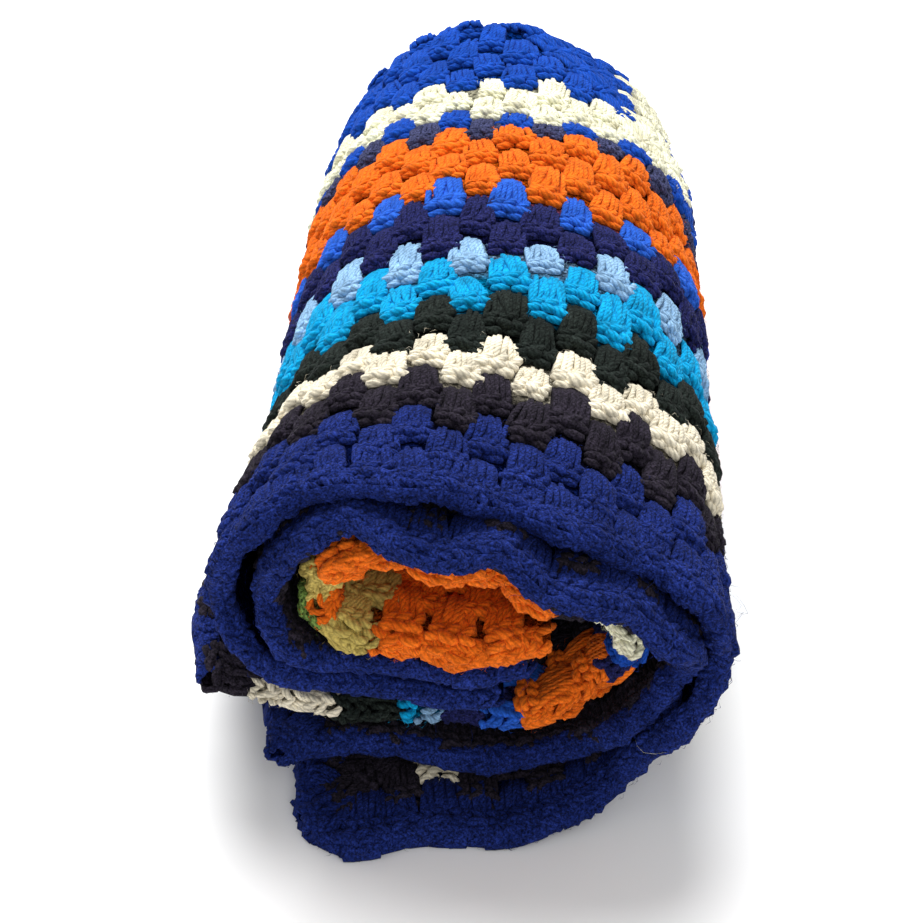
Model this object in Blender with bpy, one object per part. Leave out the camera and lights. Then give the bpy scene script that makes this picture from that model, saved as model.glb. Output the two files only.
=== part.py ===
"""A crocheted granny square blanket, folded into a strip and rolled into a bolster.

Units: metres, +Z up. The roll lies along Y on a flat spot at Z = 0. Its open end,
where the edges of the layers show as a spiral, faces -Y, and the folded end faces +Y.

The strip is one solid in three layers: an outer layer, a middle layer and an inner
double layer. Any point of it has three coordinates:
  station  how far along the strip, from its loose end to its end in the core
  face     which face of which layer, from the outside in
  depth    how far back from the open end
Near the open end the layers stand apart. Behind it they press together into one
body, and at the folded end a round lip closes over them all.
"""
import math

import bpy

MM = 0.001

# ---- driving sizes, in millimetres ------------------------------------------
ROW_HEIGHT = 12.0           # one round of stitches, measured along the roll
ROWS_ALONG_ROLL = 28        # rounds that show from the open end to the folded end
ROLL_LENGTH = ROW_HEIGHT * ROWS_ALONG_ROLL
SINGLE_LAYER = 5.8          # thickness of one crocheted layer
DOUBLE_LAYER = 9.0          # thickness of the inner double layer

STEPS_PER_STATION = 3       # columns of faces between two rows of the tables
SLUMP_DEPTH = 105.0         # behind this the layers are pressed together
OPEN_LAYERS_DEPTH = 42.0    # how deep the layers stand apart at the open end
LIP_RADIUS = 11.0           # rounding of the strip's folded end
LIP_MOST = 0.42             # most of the strip's thickness that the rounding takes
RIM_ROUNDING = 0.28         # share of its thickness that a layer loses at a rim
RIM_DEPTH = 5.0             # the rounding fades over this length

FAR_SHOULDER = 70.0         # length over which the roll narrows to the folded end
FAR_NARROWING = 0.05        # share of its width lost there
FAR_DOME = 0.12             # share of its height lost there, this far out to the sides
FAR_DOME_MIDDLE = -4.0
FAR_DOME_HALF = 60.0
SLOPE_START = 200.0         # from here the top slopes down towards the folded end
SLOPE_LENGTH = 75.0
SLOPE_LOWERING = 0.09       # share of its height lost on the slope

FLAP_STATIONS = 2.6         # the loose end bulges out this far along the strip
FLAP_DEPTH = 92.0           # and this far back
FLAP_OUT = 6.5
FLAP_UP = 8.0
FLAP_SHARES = (0.0, 0.3, 1.0)       # how much of the bulge each layer takes

EDGE_WAVE = 2.2             # how far the open edge waves in and out
EDGE_WAVE_STATIONS = 3.1    # stations from one wave to the next
EDGE_WAVE_SHIFT = 1.7       # each layer's waves start this much further on
SIDE_WAVE = 1.3             # soft ridges round the roll
SIDE_WAVE_LENGTH = 88.0
SIDE_WAVE_TURN = 0.9        # how fast the ridges turn from station to station
RIDGED_ABOVE = 30.0         # the ridges fade below this height
LIFT_TO_SIDE = 0.4

BLANKET_COLOUR = (0.020, 0.035, 0.190, 1.0)

# ---- the open end -----------------------------------------------------------
# Middle line of each layer, in millimetres: x to the right, z up, and how far its
# edge reaches out past the open end's plane. One row for each station, from the
# loose end round the roll and in to the core.
OPEN_END = (
    # outer layer       middle layer       inner double layer
    # x     z   reach     x     z   reach     x     z   reach
    ((-47,   2.9,   4), (-55,  21,   -4), (-73,  46,   -4)),    # loose end
    ((-31,   2.9,  13), (-38,  19,   -9), (-56,  38,   -9)),
    ((-12,   2.9,  11), (-19,  19,  -10), (-37,  35,  -10)),
    ((7,     2.9,   9), (0,    18,   -9), (-18,  33,  -10)),    # floor
    ((24,    5,     3), (18,   18,   -9), (0,    32,  -10)),
    ((41,   11,    -2), (35,   23,   -9), (16,   34,  -10)),
    ((51,   25,    -4), (46,   35,   -8), (30,   41,   -9)),
    ((62,   40,    -4), (55,   47,   -6), (39,   51,   -8)),
    ((69,   56,    -2), (61,   60,   -2), (45,   63,   -6)),    # right side
    ((69,   73,     0), (60,   73,    6), (43,   73,   -4)),
    ((63,   86,     0), (52,   81,   12), (36,   80,    0)),
    ((53,   93,     0), (42,   90,   14), (27,   84,    2)),
    ((42,   97,     0), (31,   95,   14), (18,   88,    3)),
    ((31,  106,     0), (20,   98,   14), (10,   94,    4)),
    ((17,  110,     0), (8,   106,   13), (2,    97,    4)),
    ((3,   113,     0), (-6,  106,   12), (-8,   98,    4)),    # top
    ((-11, 120,     0), (-19, 109,   11), (-18,  99,    4)),
    ((-26, 119,     0), (-31, 110,    6), (-28,  98,    2)),
    ((-42, 114,    -1), (-42, 103,    3), (-36,  92,    0)),
    ((-56, 104,    -2), (-50,  93,    0), (-40,  85,   -2)),
    ((-65,  90,    -3), (-54,  81,    0), (-40,  77,   -3)),    # left side
    ((-67,  75,    -3), (-52,  70,    0), (-33,  71,    0)),
    ((-60,  61,    -2), (-43,  62,    0), (-22,  68.5,  3)),
    ((-44,  54,     0), (-28,  59,    0), (-10,  68.5,  4)),
    ((-27,  50,     0), (-11,  58.5,  0), (2,    69,    4)),    # under the core
    ((-8,   49.5,   0), (5,    59,    0), (13,   69,    4)),
    ((11,   51,     0), (18,   60.5,  0), (23,   70.5,  3)),    # end in the core
)

# ---- behind the slump -------------------------------------------------------
# Outer face and inner face of the pressed strip, in millimetres, for the same
# stations. The inner faces meet along a slit in the core.
PRESSED = (
    # outer face    inner face
    # x     z        x     z
    ((-62,   1.5), (-76,  22)),      # loose end
    ((-45,   0),   (-57,  23.5)),
    ((-27,   0),   (-38,  23)),
    ((-9,    0),   (-20,  23)),      # floor
    ((10,    0),   (-2,   23)),
    ((30,    3),   (14,   24)),
    ((49,   13),   (28,   29)),
    ((63,   28),   (39,   39)),
    ((71,   46),   (45,   52)),      # right side
    ((73,   64),   (44,   63)),
    ((70,   81),   (38,   71)),
    ((62,   95),   (30,   74.5)),
    ((51,  106),   (22,   75)),
    ((38,  113),   (15,   75)),
    ((23,  118),   (8,    75)),
    ((7,   120),   (0,    75)),      # top
    ((-9,  119.5), (-8,   75)),
    ((-25, 116),   (-15,  75)),
    ((-40, 109),   (-22,  75)),
    ((-52,  99),   (-27,  73.5)),
    ((-60.5, 86),  (-28,  71)),      # left side
    ((-65.5, 70),  (-24,  69)),
    ((-66,  53),   (-16,  68.5)),
    ((-57,  38),   (-6,   68.5)),
    ((-42,  29),   (5,    68.5)),    # under the core
    ((-22,  26),   (16,   68)),
    ((0,    26.5), (28,   65)),      # end in the core
)

# Faces from the outside in: outer layer 0-1, middle layer 2-3, inner double 4-5.
# For each face: its layer, its side of that layer's middle line, and its share of
# the way from the outer to the inner face where the strip is pressed.
HALF_SINGLE = 0.5 * SINGLE_LAYER
HALF_DOUBLE = 0.5 * DOUBLE_LAYER
FACES = (
    # layer  side           share
    (0, -HALF_SINGLE, 0.00),
    (0, +HALF_SINGLE, 0.20),
    (1, -HALF_SINGLE, 0.26),
    (1, +HALF_SINGLE, 0.46),
    (2, -HALF_DOUBLE, 0.52),
    (2, +HALF_DOUBLE, 1.00),
)
SPACES_BETWEEN_LAYERS = (1, 3)      # from face 1 to 2 and from face 3 to 4

# Rings of points across the roll, by their depth behind the open end.
RING_DEPTHS = (
    0.0, RIM_DEPTH, 15.0, OPEN_LAYERS_DEPTH, 70.0, SLUMP_DEPTH, 150.0, 195.0, 240.0, 280.0,
    ROLL_LENGTH - LIP_RADIUS, ROLL_LENGTH - 0.5 * LIP_RADIUS,
    ROLL_LENGTH - 0.15 * LIP_RADIUS, ROLL_LENGTH,
)


def clear_scene():
    for thing in list(bpy.data.objects):
        bpy.data.objects.remove(thing)


def smooth_step(share):
    share = min(max(share, 0.0), 1.0)
    return share * share * (3.0 - 2.0 * share)


def between(a, b, share):
    return tuple(p + (q - p) * share for p, q in zip(a, b))


def along(rows, station):
    """A smooth curve through the rows, read at a station that may lie between two."""
    first = min(int(station), len(rows) - 2)
    t = station - first
    before = rows[max(first - 1, 0)]
    start = rows[first]
    end = rows[first + 1]
    after = rows[min(first + 2, len(rows) - 1)]
    return tuple(
        b + 0.5 * t * (c - a + t * (2 * a - 5 * b + 4 * c - d + t * (3 * (b - c) + d - a)))
        for a, b, c, d in zip(before, start, end, after)
    )


def layer_rows(layer):
    return [row[layer] for row in OPEN_END]


def inner_side(rows, station):
    """Unit direction in x and z from a layer's middle line to its inner side."""
    step = 0.05
    back = along(rows, max(station - step, 0.0))
    ahead = along(rows, min(station + step, len(rows) - 1.0))
    run_x = ahead[0] - back[0]
    run_z = ahead[1] - back[1]
    length = math.hypot(run_x, run_z)
    return -run_z / length, run_x / length


def at_open_end(station, face):
    """x, z and reach of a face of a layer in the plane of the open end."""
    layer, side, _ = FACES[face]
    rows = layer_rows(layer)
    x, z, reach = along(rows, station)
    side_x, side_z = inner_side(rows, station)
    turn = 2 * math.pi * station / EDGE_WAVE_STATIONS + EDGE_WAVE_SHIFT * layer
    wave = EDGE_WAVE * math.sin(turn)
    return x + side * side_x, z + side * side_z, reach + wave


def lip_share(thickness, depth):
    """How far the folded end's lip draws a face in, as a share of the thickness."""
    from_end = ROLL_LENGTH - depth
    if from_end >= LIP_RADIUS:
        return 0.0
    past = LIP_RADIUS - from_end
    inset = LIP_RADIUS - math.sqrt(LIP_RADIUS ** 2 - past ** 2)
    return inset * min(1.0 / thickness, LIP_MOST / LIP_RADIUS)


def where_pressed(station, face, depth):
    """x and z of a face behind the slump."""
    outer = along([row[0] for row in PRESSED], station)
    inner = along([row[1] for row in PRESSED], station)
    drawn_in = lip_share(math.dist(outer, inner), depth)
    share = drawn_in + (1.0 - 2.0 * drawn_in) * FACES[face][2]
    return between(outer, inner, share)


def rim_share(depth):
    """How much of the rounding a ring takes: all of it at the open end's rim."""
    return max(0.0, 1.0 - depth / RIM_DEPTH)


def place(station, face, depth):
    """The point of the strip at these three coordinates, in metres."""
    slump = smooth_step(depth / SLUMP_DEPTH)
    open_x, open_z, reach = at_open_end(station, face)
    x, z = between((open_x, open_z), where_pressed(station, face, depth), slump)
    y = depth - 0.5 * ROLL_LENGTH - reach * (1.0 - slump)

    bulge = FLAP_SHARES[FACES[face][0]] * smooth_step(1.0 - station / FLAP_STATIONS)
    bulge *= math.sin(math.pi * min(depth / FLAP_DEPTH, 1.0))
    x -= FLAP_OUT * bulge
    z += FLAP_UP * bulge

    far = smooth_step((depth - ROLL_LENGTH + FAR_SHOULDER) / FAR_SHOULDER)
    x *= 1.0 - FAR_NARROWING * far
    dome = FAR_DOME * ((x - FAR_DOME_MIDDLE) / FAR_DOME_HALF) ** 2
    slope = SLOPE_LOWERING * smooth_step((depth - SLOPE_START) / SLOPE_LENGTH)
    z *= 1.0 - slope - far * dome

    ridge = math.sin(2 * math.pi * depth / SIDE_WAVE_LENGTH + SIDE_WAVE_TURN * station)
    lift = SIDE_WAVE * ridge * slump * smooth_step(z / RIDGED_ABOVE)
    x += LIFT_TO_SIDE * lift
    z = max(z + lift, 0.0)
    return x, y, z


def rounded_place(station, face, depth):
    """The same point, drawn in towards its layer's middle at the open rim."""
    partner = face + 1 if face % 2 == 0 else face - 1
    point = place(station, face, depth)
    opposite = place(station, partner, depth)
    drawn_in = between(point, opposite, 0.5 * RIM_ROUNDING * rim_share(depth))
    return drawn_in


def is_cloth(space, ring):
    """False for the gaps between layers at the open end of the roll."""
    return space not in SPACES_BETWEEN_LAYERS or RING_DEPTHS[ring] >= OPEN_LAYERS_DEPTH


def cell_corners(column, space, ring):
    """The six sides of one cell, each with its neighbour's step and its corners."""
    a, b, c = column, space, ring
    near = [(a, b, c), (a + 1, b, c), (a + 1, b + 1, c), (a, b + 1, c)]
    far = [(i, j, c + 1) for i, j, _ in near]
    sides = [((0, 0, -1), [near[0], near[1], near[2], near[3]])]
    sides.append(((0, 0, 1), [far[3], far[2], far[1], far[0]]))
    sides.append(((0, -1, 0), [near[0], far[0], far[1], near[1]]))
    sides.append(((0, 1, 0), [near[3], near[2], far[2], far[3]]))
    sides.append(((-1, 0, 0), [near[0], near[3], far[3], far[0]]))
    sides.append(((1, 0, 0), [near[1], far[1], far[2], near[2]]))
    return sides


def standing_centred(points):
    """The points in metres, with the middle of their box's underside at the origin."""
    lows = [min(point[axis] for point in points) for axis in range(3)]
    highs = [max(point[axis] for point in points) for axis in range(3)]
    origin = (0.5 * (lows[0] + highs[0]), 0.5 * (lows[1] + highs[1]), lows[2])
    return [[MM * (value - start) for value, start in zip(point, origin)] for point in points]


def build_blanket():
    columns = STEPS_PER_STATION * (len(OPEN_END) - 1)
    spaces = len(FACES) - 1
    rings = len(RING_DEPTHS) - 1
    cloth = {
        (column, space, ring)
        for column in range(columns)
        for space in range(spaces)
        for ring in range(rings)
        if is_cloth(space, ring)
    }
    points = []
    number = {}
    faces = []

    def point_number(corner):
        if corner not in number:
            column, face, ring = corner
            number[corner] = len(points)
            points.append(rounded_place(column / STEPS_PER_STATION, face, RING_DEPTHS[ring]))
        return number[corner]

    for cell in sorted(cloth):
        for step, corners in cell_corners(*cell):
            neighbour = tuple(c + s for c, s in zip(cell, step))
            if neighbour not in cloth:
                faces.append([point_number(corner) for corner in corners])

    mesh = bpy.data.meshes.new("rolled_blanket")
    mesh.from_pydata(standing_centred(points), [], faces)
    blanket = bpy.data.objects.new("rolled_blanket", mesh)
    bpy.context.scene.collection.objects.link(blanket)
    return blanket


def yarn_material():
    material = bpy.data.materials.new("crochet_yarn")
    material.use_nodes = True
    shader = material.node_tree.nodes["Principled BSDF"]
    shader.inputs["Base Color"].default_value = BLANKET_COLOUR
    shader.inputs["Roughness"].default_value = 0.95
    return material


def main():
    clear_scene()
    blanket = build_blanket()
    blanket.data.materials.append(yarn_material())


main()
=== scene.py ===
# %% [markdown]
# # A rolled granny square blanket
#
# The real thing is one big granny square: rounds of treble stitches in groups of
# three, worked outwards from a yellow centre, in bands of blue, charcoal, beige,
# green, cyan, orange and cream. It is folded into a thick strip, and the strip is
# rolled up loosely, so that its open end shows the edges of its layers as a spiral.
#
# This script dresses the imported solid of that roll. Everything is worked out in the
# cloth's own coordinates (how far round the strip, how far back from the open end,
# how far off the middle of the layer) and only then placed in space. So the stitches
# follow every fold without being fitted to it one by one.

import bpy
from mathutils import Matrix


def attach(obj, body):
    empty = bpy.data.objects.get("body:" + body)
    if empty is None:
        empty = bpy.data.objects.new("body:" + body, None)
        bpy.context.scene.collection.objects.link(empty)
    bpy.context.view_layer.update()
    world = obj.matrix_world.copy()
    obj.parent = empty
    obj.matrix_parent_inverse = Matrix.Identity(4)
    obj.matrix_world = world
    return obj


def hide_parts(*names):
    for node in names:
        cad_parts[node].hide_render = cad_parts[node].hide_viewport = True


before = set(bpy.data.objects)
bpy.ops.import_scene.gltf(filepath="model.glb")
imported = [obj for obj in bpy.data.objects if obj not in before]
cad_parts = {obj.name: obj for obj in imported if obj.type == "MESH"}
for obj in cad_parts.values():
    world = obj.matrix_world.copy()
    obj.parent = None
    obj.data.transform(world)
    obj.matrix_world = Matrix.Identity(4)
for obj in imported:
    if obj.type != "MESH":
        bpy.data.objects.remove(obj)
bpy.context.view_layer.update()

# %% Imports and units
import math

import bpy
import numpy as np
from mathutils import Euler

MM = 0.001
FULL_TURN = 2.0 * math.pi

# %% [markdown]
# ## The shape of the strip
#
# The roll is described by two short tables, in millimetres. `OPEN_END` follows the
# middle line of each layer where it shows at the open end, with how far its edge
# reaches out towards the viewer. `PRESSED` gives the outer and the inner face of the
# whole strip further back, where the layers press together. A row of either table is
# a station: one stop on the way from the loose end, round the roll, into the core.
# Listed tables are used because the slump of this cloth follows no rule.

# %% Stations of the strip
LAYERS = ("outer", "middle", "inner")
OPEN_END = np.array((
    # outer layer    middle layer    inner double layer: x, z, reach of each
    -47,  2.9,  4,  -55,   21,  -4,  -73,   46,  -4,     # loose end
    -31,  2.9, 13,  -38,   19,  -9,  -56,   38,  -9,
    -12,  2.9, 11,  -19,   19, -10,  -37,   35, -10,
      7,  2.9,  9,    0,   18,  -9,  -18,   33, -10,     # floor
     24,    5,  3,   18,   18,  -9,    0,   32, -10,
     41,   11, -2,   35,   23,  -9,   16,   34, -10,
     51,   25, -4,   46,   35,  -8,   30,   41,  -9,
     62,   40, -4,   55,   47,  -6,   39,   51,  -8,
     69,   56, -2,   61,   60,  -2,   45,   63,  -6,     # right side
     69,   73,  0,   60,   73,   6,   43,   73,  -4,
     63,   86,  0,   52,   81,  12,   36,   80,   0,
     53,   93,  0,   42,   90,  14,   27,   84,   2,
     42,   97,  0,   31,   95,  14,   18,   88,   3,
     31,  106,  0,   20,   98,  14,   10,   94,   4,
     17,  110,  0,    8,  106,  13,    2,   97,   4,
      3,  113,  0,   -6,  106,  12,   -8,   98,   4,     # top
    -11,  120,  0,  -19,  109,  11,  -18,   99,   4,
    -26,  119,  0,  -31,  110,   6,  -28,   98,   2,
    -42,  114, -1,  -42,  103,   3,  -36,   92,   0,
    -56,  104, -2,  -50,   93,   0,  -40,   85,  -2,
    -65,   90, -3,  -54,   81,   0,  -40,   77,  -3,     # left side
    -67,   75, -3,  -52,   70,   0,  -33,   71,   0,
    -60,   61, -2,  -43,   62,   0,  -22, 68.5,   3,
    -44,   54,  0,  -28,   59,   0,  -10, 68.5,   4,
    -27,   50,  0,  -11, 58.5,   0,    2,   69,   4,     # under the core
     -8, 49.5,  0,    5,   59,   0,   13,   69,   4,
     11,   51,  0,   18, 60.5,   0,   23, 70.5,   3,     # end in the core
), dtype=float).reshape(-1, 3, 3)
PRESSED = np.array((
    # outer face  inner face: x, z of each
      -62,   1.5,  -76,   22,     # loose end
      -45,     0,  -57, 23.5,
      -27,     0,  -38,   23,
       -9,     0,  -20,   23,     # floor
       10,     0,   -2,   23,
       30,     3,   14,   24,
       49,    13,   28,   29,
       63,    28,   39,   39,
       71,    46,   45,   52,     # right side
       73,    64,   44,   63,
       70,    81,   38,   71,
       62,    95,   30, 74.5,
       51,   106,   22,   75,
       38,   113,   15,   75,
       23,   118,    8,   75,
        7,   120,    0,   75,     # top
       -9, 119.5,   -8,   75,
      -25,   116,  -15,   75,
      -40,   109,  -22,   75,
      -52,    99,  -27, 73.5,
    -60.5,    86,  -28,   71,     # left side
    -65.5,    70,  -24,   69,
      -66,    53,  -16, 68.5,
      -57,    38,   -6, 68.5,
      -42,    29,    5, 68.5,     # under the core
      -22,    26,   16,   68,
        0,  26.5,   28,   65,     # end in the core
), dtype=float).reshape(-1, 2, 2)
LAST_STATION = len(OPEN_END) - 1.0
print("stations:", len(OPEN_END), "layers:", LAYERS)

# %% [markdown]
# ## From cloth to space
#
# `place` takes a layer, a station, a depth behind the open end and a height off the
# layer's middle, and returns the point. Behind the open end it slides from one table
# to the other, and near the folded end it draws in to a round lip. It works on whole
# arrays at once, because the blanket has thousands of strands to place.

# %% Sizes of the roll
ROW_HEIGHT = 12.0               # of a round of stitches, along the roll
ROWS_ALONG_ROLL = 28
ROLL_LENGTH = ROW_HEIGHT * ROWS_ALONG_ROLL
HALF_THICKNESS = {"outer": 2.9, "middle": 2.9, "inner": 4.5}
PRESSED_SHARE = {"outer": 0.00, "middle": 0.36, "inner": 1.00}   # where a layer lies
PRESSED_SIDE = {"outer": -1.0, "middle": 0.0, "inner": 1.0}      # which face lies there
SLUMP_DEPTH = 105.0             # over this depth the layers come together

# The folded end narrows, sinks at its sides, slopes down and ends in a round lip.
FAR_SHOULDER = 70.0
FAR_NARROWING = 0.05
FAR_DOME = 0.12
FAR_DOME_MIDDLE = -4.0
FAR_DOME_HALF = 60.0
SLOPE_START = 200.0
SLOPE_LENGTH = 75.0
SLOPE_LOWERING = 0.09
LIP_RADIUS = 11.0
LIP_MOST = 0.42                 # of the thickness, drawn in at the lip
FOLD_BEGINS = ROLL_LENGTH - LIP_RADIUS

# The loose end bulges out, the open edge waves, and the sides have low ridges.
FLAP_STATIONS = 2.6
FLAP_DEPTH = 92.0
FLAP_OUT = 6.5
FLAP_UP = 8.0
FLAP_SHARES = {"outer": 0.0, "middle": 0.3, "inner": 1.0}
EDGE_WAVE = 2.2
EDGE_WAVE_STATIONS = 3.1
EDGE_WAVE_SHIFT = 1.7
SIDE_WAVE = 1.3
SIDE_WAVE_LENGTH = 88.0
SIDE_WAVE_TURN = 0.9
RIDGED_ABOVE = 30.0
LIFT_TO_SIDE = 0.4
print("roll length:", ROLL_LENGTH, "mm")

# %% A smooth curve through the stations
def along(rows, station):
    """Reads the rows at stations that may lie between two of them."""
    station = np.clip(np.asarray(station, dtype=float), 0.0, LAST_STATION)
    first = np.minimum(station.astype(int), len(rows) - 2)
    t = (station - first)[..., None]
    a = rows[np.maximum(first - 1, 0)]
    b = rows[first]
    c = rows[first + 1]
    d = rows[np.minimum(first + 2, len(rows) - 1)]
    return b + 0.5 * t * (c - a + t * (2 * a - 5 * b + 4 * c - d + t * (3 * (b - c) + d - a)))


def smooth_step(share):
    share = np.clip(share, 0.0, 1.0)
    return share * share * (3.0 - 2.0 * share)


# %% The open end and the pressed strip
SMALL_STEP = 0.05               # stations, to find which way a layer runs


def at_open_end(layer, station, height):
    number = LAYERS.index(layer)
    rows = OPEN_END[:, number]
    point = along(rows, station)
    run = along(rows, station + SMALL_STEP)[..., :2] - along(rows, station - SMALL_STEP)[..., :2]
    run /= np.linalg.norm(run, axis=-1, keepdims=True)
    wave = EDGE_WAVE * np.sin(FULL_TURN * station / EDGE_WAVE_STATIONS + EDGE_WAVE_SHIFT * number)
    x = point[..., 0] + height * run[..., 1]
    z = point[..., 1] - height * run[..., 0]
    return x, z, point[..., 2] + wave


def lip_inset(depth):
    """How far the round lip is drawn in at this depth."""
    past = np.clip(depth - FOLD_BEGINS, 0.0, LIP_RADIUS)
    return LIP_RADIUS - np.sqrt(LIP_RADIUS ** 2 - past ** 2)


def where_pressed(layer, station, depth, height):
    outer = along(PRESSED[:, 0], station)
    across = along(PRESSED[:, 1], station) - outer
    thickness = np.linalg.norm(across, axis=-1)
    drawn_in = lip_inset(depth) * np.minimum(1.0 / thickness, LIP_MOST / LIP_RADIUS)
    inward = -height - PRESSED_SIDE[layer] * HALF_THICKNESS[layer]
    share = PRESSED_SHARE[layer] * (1.0 - 2.0 * drawn_in) + drawn_in + inward / thickness
    point = outer + across * share[..., None]
    return point[..., 0], point[..., 1]


# %% One point of the cloth
def place_loose(layer, station, depth, height):
    """Millimetres, before the roll is centred. Height is positive towards the outside."""
    station, depth, height = np.broadcast_arrays(station, depth, height)
    slump = smooth_step(depth / SLUMP_DEPTH)
    open_x, open_z, reach = at_open_end(layer, station, height)
    deep_x, deep_z = where_pressed(layer, station, depth, height)
    x = open_x + (deep_x - open_x) * slump
    z = open_z + (deep_z - open_z) * slump
    y = depth - 0.5 * ROLL_LENGTH - reach * (1.0 - slump)
    bulge = FLAP_SHARES[layer] * smooth_step(1.0 - station / FLAP_STATIONS)
    bulge = bulge * np.sin(math.pi * np.clip(depth / FLAP_DEPTH, 0.0, 1.0))
    x = x - FLAP_OUT * bulge
    z = z + FLAP_UP * bulge
    far = smooth_step((depth - ROLL_LENGTH + FAR_SHOULDER) / FAR_SHOULDER)
    x = x * (1.0 - FAR_NARROWING * far)
    dome = FAR_DOME * ((x - FAR_DOME_MIDDLE) / FAR_DOME_HALF) ** 2
    slope = SLOPE_LOWERING * smooth_step((depth - SLOPE_START) / SLOPE_LENGTH)
    z = z * (1.0 - slope - far * dome)
    ridge = np.sin(FULL_TURN * depth / SIDE_WAVE_LENGTH + SIDE_WAVE_TURN * station)
    lift = SIDE_WAVE * ridge * slump * smooth_step(z / RIDGED_ABOVE)
    return np.stack((x + LIFT_TO_SIDE * lift, y, z + lift), axis=-1)


# %% Where the middle of the roll is
FACE_STATIONS = np.linspace(0.0, LAST_STATION, 79)[:, None]      # where the solid has points
FACE_DEPTHS = np.array((0.0, 5.0, 15.0, 42.0, 70.0, 105.0, 150.0, 195.0, 240.0, 280.0, 325.0, 336.0))


def centre_of_roll():
    """The middle of the box of the solid's faces, so that the cloth stands where it does."""
    faces = [place_loose(layer, FACE_STATIONS, FACE_DEPTHS, side * HALF_THICKNESS[layer])
             for layer in LAYERS for side in (-1, 1)]
    points = np.concatenate([face.reshape(-1, 3) for face in faces])
    return 0.5 * (points.min(axis=0) + points.max(axis=0))


CENTRE = centre_of_roll() * np.array((1.0, 1.0, 0.0))


def place(layer, station, depth, height):
    return (place_loose(layer, station, depth, height) - CENTRE) * MM


print("centre of the roll, mm:", CENTRE.round(2))

# %% [markdown]
# ## Yarns
#
# Each band of rounds was worked in its own yarn, mostly soft acrylic. A yarn is fuzzy,
# twisted from several plies and never one flat colour. Its material is built up in
# layers: a slow change of shade over the cloth, pale fibre tips against darker hollows,
# which are partly loose fibres and partly painted highlight and painted shade, painted
# shade in the grooves between the plies, and a low relief of plies and fibres. The plies
# read the strand's own UV map, so they turn with the yarn; the rest is noise over the
# cloth. Dark yarn gets the strongest painted highlight on its fibre tips, as they catch most of its light.

# %% Colours of the yarns
YARNS = {
    "border_blue": (0.006, 0.015, 0.105),
    "charcoal": (0.014, 0.011, 0.018),
    "beige": (0.860, 0.780, 0.600),
    "dark_green": (0.009, 0.013, 0.011),
    "cyan": (0.001, 0.370, 0.720),
    "light_blue": (0.290, 0.500, 0.760),
    "dark_navy": (0.010, 0.012, 0.068),
    "mid_blue": (0.020, 0.115, 0.600),
    "orange": (1.000, 0.170, 0.010),
    "grey_navy": (0.034, 0.038, 0.090),
    "royal_blue": (0.006, 0.070, 0.450),
    "ecru": (0.960, 0.910, 0.650),
    "centre_yellow": (0.600, 0.460, 0.120),
    "centre_green": (0.110, 0.180, 0.040),
}
DARK_BELOW = 0.25           # a yarn is dark if no channel passes this
PALE_ABOVE = 0.5            # and pale if every channel does
# Painted shade in the hollows and painted highlight on the fibre tips, as shares of the colour.
FUZZ_SHADE_AND_HIGHLIGHT = {"dark": (0.30, 2.3), "bright": (0.72, 1.10), "pale": (0.88, 1.10)}     # hollows, tips
SHEEN = {"dark": 0.06, "bright": 0.22, "pale": 0.22}
SHEEN_TINT = (1.5, 0.1)     # share of the colour, and light added to it
WORN = 0.70                 # shares of the colour in the darker and the lighter places
FRESH = 1.15
LEAST_LIGHT = 0.002
SHADE_SCALE = 120.0         # the sizes of the noises are per metre of cloth
FUZZ_SCALE = 1500.0
FIBRE_SCALE = 1100.0
FUZZ_SPREAD = 0.12
PLIES = 4                   # ply ridges round one strand
BAND_SCALE = FULL_TURN / 10.0        # the wave texture's scale for one band over one unit
PLY_WOBBLE = 1.2
# Painted shade in the grooves between the plies, as a share of the colour.
GROOVE_PAINTED_SHADE = 0.66
GROOVE_ENDS = 0.55          # height of the ply wave above which a groove has no shade
PLY_RELIEF = (0.4, 0.4 * MM)         # strength and height
FIBRE_RELIEF = (0.45, 0.7 * MM)

# %% Helpers for nodes
def link(tree, source, target):
    tree.links.new(source, target)


def node(tree, kind, values=(), **settings):
    """A new node, with its settings and then the values of its inputs."""
    made = tree.nodes.new(kind)
    for name, setting in settings.items():
        setattr(made, name, setting)
    for name, value in dict(values).items():
        made.inputs[name].default_value = value
    return made


def noise(tree, position, scale, detail, roughness=0.65):
    made = node(tree, "ShaderNodeTexNoise", {"Scale": scale, "Detail": detail, "Roughness": roughness})
    link(tree, position, made.inputs["Vector"])
    return made.outputs["Fac"]


def ramp(tree, value, low, high, places):
    """Turns a value into the colours between low and high."""
    made = node(tree, "ShaderNodeValToRGB")
    for element, colour, spot in zip(made.color_ramp.elements, (low, high), places):
        element.position = spot
        element.color = (*colour, 1.0)
    link(tree, value, made.inputs["Fac"])
    return made.outputs["Color"]


def mottled(tree, position, scale, low, high, spread=0.15, detail=4.0):
    """A noise over the cloth, turned into a range of colours."""
    value = noise(tree, position, scale, detail)
    return ramp(tree, value, low, high, (0.5 - spread, 0.5 + spread))


def multiply(tree, first, second):
    made = node(tree, "ShaderNodeMixRGB", {"Fac": 1.0}, blend_type="MULTIPLY")
    link(tree, first, made.inputs["Color1"])
    link(tree, second, made.inputs["Color2"])
    return made.outputs["Color"]


def bump(tree, height, relief, below=None):
    """A relief, on top of another one if that is given."""
    made = node(tree, "ShaderNodeBump", {"Strength": relief[0], "Distance": relief[1]})
    link(tree, height, made.inputs["Height"])
    if below is not None:
        link(tree, below, made.inputs["Normal"])
    return made.outputs["Normal"]


# %% A yarn material
def kind_of(colour):
    if max(colour) < DARK_BELOW:
        return "dark"
    return "pale" if min(colour) > PALE_ABOVE else "bright"


def lit(colour, share, more=0.0):
    return tuple(min(1.0, share * channel + more) for channel in colour)


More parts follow.
